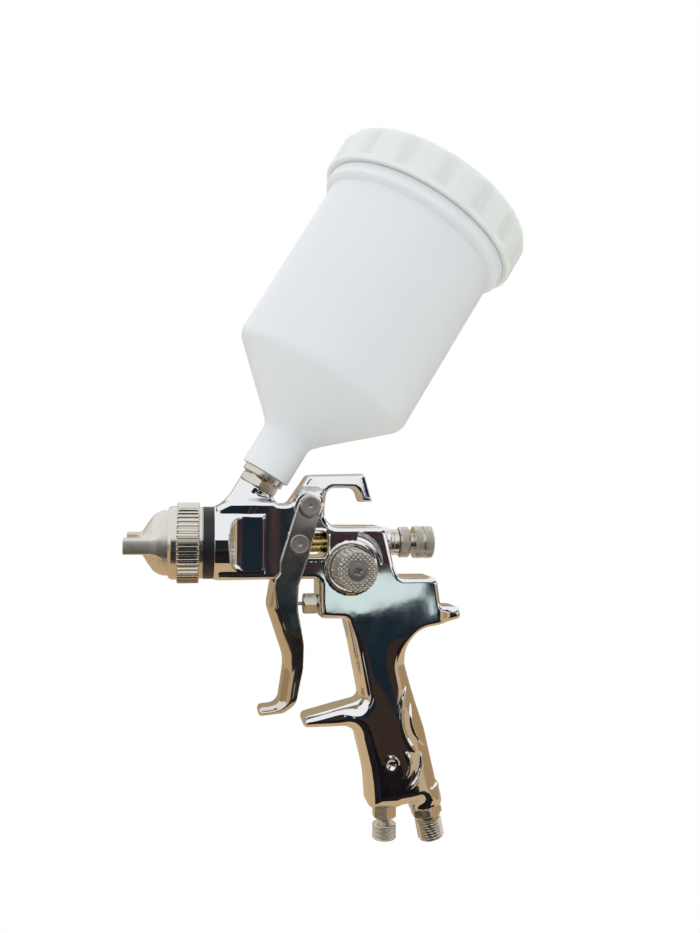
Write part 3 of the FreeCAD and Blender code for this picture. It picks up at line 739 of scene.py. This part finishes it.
def recess(screw, base, out):
    """Cuts a cross recess into a screw's head."""
    cutters = []
    for turn in (radians(20), radians(110)):
        u = X * cos(turn) + Z * sin(turn)
        v = np.cross(out, u)
        corners = [base + out * level + u * (a * long) + v * (b * wide)
                   for level, long, wide in ((30.5, 0.9, 0.3), (32.4, 2.5, 0.55))
                   for a, b in ((-1, -1), (1, -1), (1, 1), (-1, 1))]
        faces = [(3, 2, 1, 0), (4, 5, 6, 7), (0, 1, 5, 4), (1, 2, 6, 5), (2, 3, 7, 6), (3, 0, 4, 7)]
        cutters.append(piece("cutter", corners, faces))
    for cutter in cutters:
        change = screw.modifiers.new("recess", "BOOLEAN")
        change.object, change.operation, change.solver = cutter, "DIFFERENCE", "EXACT"
    bpy.context.view_layer.update()
    shape = bpy.data.meshes.new_from_object(screw.evaluated_get(bpy.context.evaluated_depsgraph_get()))
    screw.modifiers.clear()
    screw.data = shape
    for cutter in cutters:
        bpy.data.objects.remove(cutter)


def hex_cut(flats, start, end, chamfer=0.55):
    """Turns the stretch between two places into a hexagon with chamfered corners."""
    def cut(angle, along, radius):
        sector = (angle + pi / 6) % (pi / 3) - pi / 6
        flat = flats / 2 / np.cos(sector)
        corner = flats / 2 / cos(pi / 6)
        from_end = np.minimum(along - start, end - along)
        cone = flats / 2 + 0.1 + from_end / chamfer * (corner - flats / 2)
        inside = (along >= start - 1e-6) & (along <= end + 1e-6) & (radius > flats / 2 - 0.3)
        return np.where(inside, np.minimum(flat, np.maximum(cone, 0)), radius)
    return cut


def make_inlet(look):
    thread_end, low, high, pitch, deep = 9.9, 12.1, 16.5, 1.337, 0.8
    nut = hex_cut(14, low, high, 0.9)

    def cut(angle, along, radius):
        phase = (along / pitch - angle / (2 * pi)) % 1
        groove = np.clip(1.25 * (1 - np.abs(2 * phase - 1)) - 0.12, 0, 1)
        fade = np.clip((along - 0.1) / 0.6, 0, 1) * np.clip((thread_end - along) / 0.9, 0, 1)
        body = np.where((along < thread_end) & (radius > 5.9), radius - deep * groove * fade, radius)
        return nut(angle, along, body)
    corner = 7 / cos(pi / 6)
    path = dense([(26, 3.6), (0.4, 3.6), (0, 4.2, 0.1), (0, 5.9, 0.1), (0.7, 6.5785), (9.9, 6.5785),
                  (10.2, 5.8), (low, 5.8), (low, corner), (high, corner), (high, 5.9), (26, 5.9), (26, 3.6)],
                 [(0.7, 9.9), (low, high)], 0.11)
    nipple = turned("inlet_threaded", path, INLET_END, INLET_UP, 144, cut)
    dress(nipple, look, "gun", "satin_nickel", "air_inlet")


def make_flow_valve(look):
    base = np.array([18.6, 0, 0])
    low, high = -136.0, -129.7
    corner = 5.35 / cos(pi / 6)
    path = dense([(low + 0.1, 2.7), (low, 3.2, 0.1), (low, corner), (high, corner), (high, 4), (-122, 4),
                  (-122, 2.7), (low + 0.1, 2.7)], [(low, high)], 0.15)
    gland = turned("flow_gland_hex", path, base, Z, 96, hex_cut(10.7, low, high, 0.7))
    dress(gland, look, "gun", "satin_nickel", "inlet_valve_gland")
    span = (-146.0, -139.8)
    path = dense([(-146.5, 0), (-146.5, 5.9, 0.6), (-139.2, 5.9, 0.6), (-139.2, 2.7)],
                 [span], 0.14)
    knob = turned("flow_knob_knurled", path, base, Z, 300,
                  lambda a, s, r: np.where(r > 5.5, diamond_knurl(*span, 30, 1.2, 0.42)(a, s, r), r))
    dress(knob, look, "flow_knob", "satin_nickel", "inlet_valve_knob")
    low, high = -23.0, -16.5
    corner = 4.7 / cos(pi / 6)
    path = dense([(low + 0.05, 1.0), (low, 1.4, 0.05), (low, corner), (high, corner), (high, 4.25),
                  (-8, 4.25)], [(low, high)], 0.15)
    nut = turned("air_valve_hex", path, (0, 0, -30), X, 96, hex_cut(9.4, low, high, 0.7))
    dress(nut, look, "gun", "satin_nickel", "air_valve_nut")


def make_adapter(look):
    corner = 9.25 / cos(pi / 6)
    low, high = -8.0, -3.9
    path = dense([(-17.5, 4.5), (-17.5, 6.4), (low, 6.4), (low, corner), (high, corner), (high, 9), (-3, 9),
                  (-3, 10.6, 0.35), (0, 10.6, 0.35), (0, 8.9), (12.4, 8.9, 0.4), (13, 7.8), (13, 4.5),
                  (-17.5, 4.5)], [(low, high)], 0.15)
    made = turned("adapter_hex", path, CUP_FOOT, CUP_AXIS, 120, hex_cut(18.5, low, high, 0.6))
    dress(made, look, "gun", "satin_nickel", "cup_adapter")


# ---- cup and lid -------------------------------------------------------------------------------
def make_cup(look):
    cup = turned("cup_moulded", [
        (0.1, 9.05, 0.2), (0.1, 12.5, 0.8), (21, 12.5, 5), (26, 17.2, 6), (53, 46.7, 8.5), (139.5, 46.7, 0.8),
        (141.6, 50, 0.8), (146.75, 50, 0.25), (146.75, 48.4, 0.2), (161, 48.4, 0.5), (161, 44.7, 0.5),
        (54, 44.7, 7), (27.5, 15.6, 4), (22.5, 10.4, 3), (14, 10.4, 0.5), (14, 9.05, 0.2)],
        CUP_FOOT, CUP_AXIS, 192, step=1.2, closed=True)
    dress(cup, look, "cup", "cup_nylon", "cup")


def make_lid(look):
    """Lid with broad shallow grip ribs round its skirt."""
    ribs, shallow = 16, 0.9
    bottom, top, wide = 147.5, 167.0, 53.4

    def cut(angle, along, radius):
        rib = np.clip(wave(angle * ribs / (2 * pi) + 0.2) * 3.0 - 0.6, 0, 1)
        fade = np.clip((along - bottom - 0.8) / 1.5, 0, 1) * np.clip((top - 1.2 - along) / 2.5, 0, 1)
        return radius - np.where(radius > 51.6, shallow * (1 - rib) * fade, 0)
    lip = bottom - 0.65
    path = dense([(lip, 49.2, 0.2), (lip, wide - 0.4, 0.6), (bottom + 0.6, wide, 0.4), (top - 1.5, wide, 5),
                  (top, 44, 22), (top, 2.1), (top - 3.3, 2.1), (top - 3.3, 51.2, 1), (bottom + 0.6, 51.2),
                  (lip, 49.2)],
                 [(bottom, top)], 0.8)
    lid = turned("lid_ribbed", path, CUP_FOOT, CUP_AXIS, ribs * 20, cut)
    dress(lid, look, "lid", "lid_nylon", "cup_lid")


# ---- what the CAD made well enough -------------------------------------------------------------
def dress_cad(looks):
    """Materials for the CAD nodes that stay, by the record's material slot."""
    slot_of = {part["node"]: part["material_slot"] for part in frame["record"]["subparts"]}
    for name, node in frame["nodes"].items():
        if node.hide_render:
            continue
        node.data.materials.clear()
        node.data.materials.append(looks[slot_of[name]])


# ---- studio ------------------------------------------------------------------------------------
def card(name, corners, color, diffuse=False, glossy=True):
    """A plain panel, in design millimetres, that only lights the object or shows in its polish."""
    mesh = bpy.data.meshes.new(name)
    mesh.from_pydata([tuple(np.array(c) / 1000 + np.array(HOME)) for c in corners], [],
                     [tuple(range(len(corners)))])
    panel = bpy.data.objects.new(name, mesh)
    bpy.context.scene.collection.objects.link(panel)
    mesh.materials.append(glowing(name, color))
    panel.visible_camera = panel.visible_transmission = panel.visible_shadow = False
    panel.visible_diffuse = diffuse
    panel.visible_glossy = glossy


def glowing(name, color):
    made = bpy.data.materials.new(name)
    made.use_nodes = True
    nodes = made.node_tree.nodes
    nodes.clear()
    glow = nodes.new("ShaderNodeEmission")
    glow.inputs["Color"].default_value = (*color, 1)
    output = nodes.new("ShaderNodeOutputMaterial")
    made.node_tree.links.new(glow.outputs["Emission"], output.inputs["Surface"])
    return made


def front_card(name, corners, color, layer):
    """A panel in front of the object, behind the camera; a higher layer hides a lower one."""
    card(name, [(x, -1000 + 5 * layer, z) for x, z in corners], color)


def studio():
    scene = bpy.context.scene
    world = bpy.data.worlds.new("studio")
    scene.world = world
    world.use_nodes = True
    world.node_tree.nodes["Background"].inputs["Color"].default_value = (1, 1, 1, 1)
    world.node_tree.nodes["Background"].inputs["Strength"].default_value = 1.0
    size, floor_z, horizon = 8000, -640, -12
    floor = bpy.data.meshes.new("floor")
    level = (floor_z - 5) / 1000 + HOME.z
    floor.from_pydata([(x, y, level) for x, y in ((-8, -8), (8, -8), (8, 8), (-8, 8))], [], [(0, 1, 2, 3)])
    ground = bpy.data.objects.new("floor", floor)
    scene.collection.objects.link(ground)
    floor.materials.append(glowing("pale_floor", (1, 1, 1)))
    tan_light, tan_deep = (0.60, 0.43, 0.24), (0.40, 0.27, 0.14)
    card("ground_tone", [(-size, -1000, floor_z), (size, -1000, floor_z), (size, size, floor_z),
                         (-size, size, floor_z)], tan_light)
    card("ground_shade", [(-size, -size, floor_z - 2), (size, -size, floor_z - 2), (size, size, floor_z - 2),
                          (-size, size, floor_z - 2)], (0.62, 0.63, 0.58), diffuse=True, glossy=False)
    for side in (-1, 1):
        x = 2300 * side
        card(f"side_tone_{side}", [(x, -1000, floor_z), (x, 2600, floor_z), (x, 2600, 300), (x, 0, 300),
                                   (x, 0, horizon), (x, -1000, horizon)], tan_deep)
    card("back_tone", [(-2300, 2600, floor_z), (2300, 2600, floor_z), (2300, 2600, 900),
                       (-2300, 2600, 900)], (0.42, 0.33, 0.20))
    card("dark_ground", [(-1600, -1000, floor_z + 5), (1600, -1000, floor_z + 5), (900, -330, floor_z + 5),
                         (-900, -330, floor_z + 5)], (0.012, 0.010, 0.012))
    card("right_shade", [(900, -900, -400), (900, 900, -400), (900, 900, 500), (900, -900, 500)],
         (0.45, 0.47, 0.45), diffuse=True, glossy=False)
    front_card("dark_front", [(-820, floor_z), (820, floor_z), (820, horizon), (100, horizon), (100, 190),
                              (-820, 190)], (0.010, 0.019, 0.028), 0)
    for side in (-1, 1):
        front_card(f"champagne_{side}", [(820 * side, floor_z), (2300 * side, floor_z),
                                        (2300 * side, horizon), (820 * side, horizon)], (0.56, 0.43, 0.27), 0)
    navy = (0.012, 0.020, 0.045)
    front_card("right_dark", [(199, 4), (1500, 240), (1500, 900), (600, 500), (199, 62)], navy, 2)
    card("side_dark", [(1500, -1000, 240), (1500, -100, 240), (1500, -100, 900), (1500, -1000, 900)], navy)
    front_card("brown_top", [(95, -108), (620, -108), (620, horizon), (95, horizon)],
               (0.045, 0.024, 0.027), 1)
    front_card("brown_low", [(-300, -420), (900, -420), (900, -290), (-300, -290)], (0.040, 0.024, 0.018), 1)
    front_card("black_low", [(-300, floor_z), (900, floor_z), (900, -420), (-300, -420)],
               (0.008, 0.005, 0.007), 1)
    daylight = (0.74, 0.88, 0.86)
    front_card("window", [(124, -109), (302, -109), (302, -150), (200, -174), (124, -174)], daylight, 2)
    front_card("window_edge", [(306, -150), (318, -148), (322, -180), (312, -182)], daylight, 2)
    front_card("brown_post", [(44, -120), (58, -120), (56, 60), (42, 60)], (0.070, 0.040, 0.034), 2)
    front_card("pale_post", [(-420, -300), (-330, -300), (-330, 100), (-420, 100)], (0.50, 0.52, 0.42), 2)
    scene.view_settings.view_transform = "Standard"
    scene.view_settings.look = "None"


def camera():
    """The camera stands level with the head, a little to the nozzle's side."""
    yaw, pitch, roll = radians(-10.2), radians(-1.7), radians(0.45)
    distance, above_axis, focal_px, long_side_px = 0.425, 0.0378, 850, 933
    turn = (Matrix.Rotation(roll, 3, "Z") @ Matrix.Rotation(pitch, 3, "X") @ Matrix.Rotation(yaw, 3, "Y")
            @ Matrix(((1, 0, 0), (0, 0, -1), (0, 1, 0))))
    target = HOME + Vector((0, 0, above_axis))
    flip = Matrix(((1, 0, 0), (0, -1, 0), (0, 0, -1)))
    data = bpy.data.cameras.new("camera")
    data.sensor_width = 36
    data.lens = 36 * focal_px / long_side_px
    data.clip_start = 0.01
    view = bpy.data.objects.new("camera", data)
    view.matrix_world = Matrix.Translation(target - turn.transposed() @ Vector((0, 0, distance))) @ (
        turn.transposed() @ flip).to_4x4()
    bpy.context.scene.collection.objects.link(view)
    bpy.context.scene.camera = view


# ---- assembly ----------------------------------------------------------------------------------
def main():
    nickel, turned_nickel, pin_steel = satin_nickel(), brushed_nickel(), steel()
    cap_nickel = satin_nickel("cap_nickel", (0.76, 0.73, 0.68), 0.33, 0.42)
    looks = {
        "chromed_casting": chrome(), "chromed_trigger": plate_chrome(), "satin_nickel": nickel,
        "steel_pin": pin_steel, "spring_steel": pin_steel, "stainless": pin_steel, "brass": brass(),
        "black_rubber": rubber(), "white_seal": seal(),
        "cup_nylon": nylon("cup_nylon", (0.83, 0.87, 0.92), (0.81, 0.85, 0.90), 0.45),
        "lid_nylon": nylon("lid_nylon", (0.84, 0.89, 0.88), (0.82, 0.87, 0.84), 0.5),
        "strainer_plastic": nylon("strainer_plastic", (0.7, 0.72, 0.75), (0.62, 0.65, 0.7), 0.2)}
    camera()
    make_casting(looks["chromed_casting"])
    make_trigger(looks["chromed_trigger"])
    make_pins(satin_nickel("pin_grey", (0.46, 0.43, 0.40), 0.3, 0.42))
    make_spray_head(cap_nickel, turned_nickel)
    make_fluid_controls(turned_nickel)
    make_fan_knob(cap_nickel, satin_nickel("screw_grey", (0.34, 0.33, 0.35), 0.45, 0.55))
    make_inlet(nickel)
    make_flow_valve(nickel)
    make_adapter(nickel)
    make_cup(looks["cup_nylon"])
    make_lid(looks["lid_nylon"])
    dress_cad(looks)
    studio()


main()
